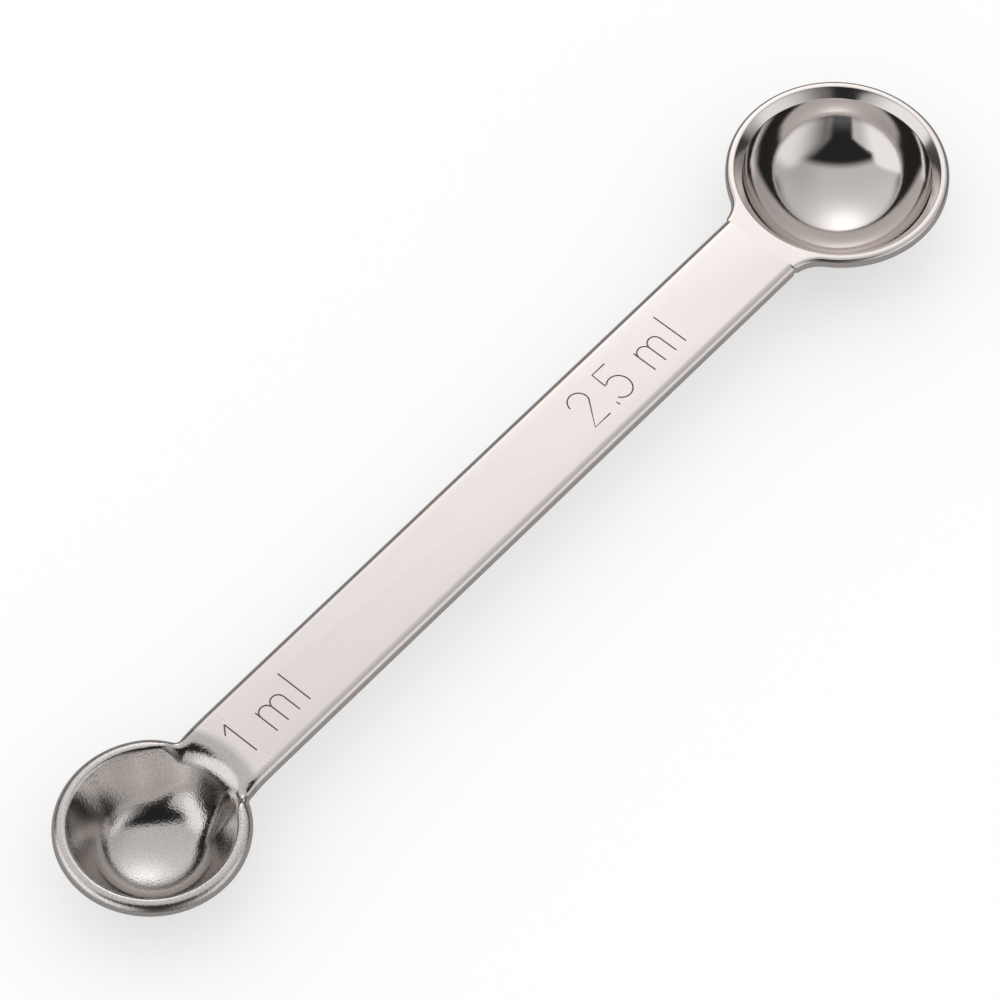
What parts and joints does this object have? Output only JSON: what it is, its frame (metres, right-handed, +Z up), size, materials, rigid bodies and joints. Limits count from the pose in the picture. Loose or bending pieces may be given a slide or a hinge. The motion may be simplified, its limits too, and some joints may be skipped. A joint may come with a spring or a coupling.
{
  "type": "measuring spoon",
  "caption": "Double-ended measuring spoon pressed from stainless sheet: a large and a small round bowl on a flat handle whose long edges are turned down.",
  "frame": {"origin": "under the middle of the spoon's length and width, on the level of the lowest point of the large bowl", "axes": "+X along the handle from the small bowl to the large bowl, +Z up out of the bowls' mouths, +Y across the handle"},
  "size_m": [0.1472, 0.0274, 0.0099],
  "materials": {
    "polished_steel": "bright polished stainless sheet",
    "satin_steel": "fine satin stainless sheet"
  },
  "bodies": {
    "root": {"small_bowl": "polished_steel", "handle": "satin_steel", "large_bowl": "polished_steel"}
  },
  "joints": []
}
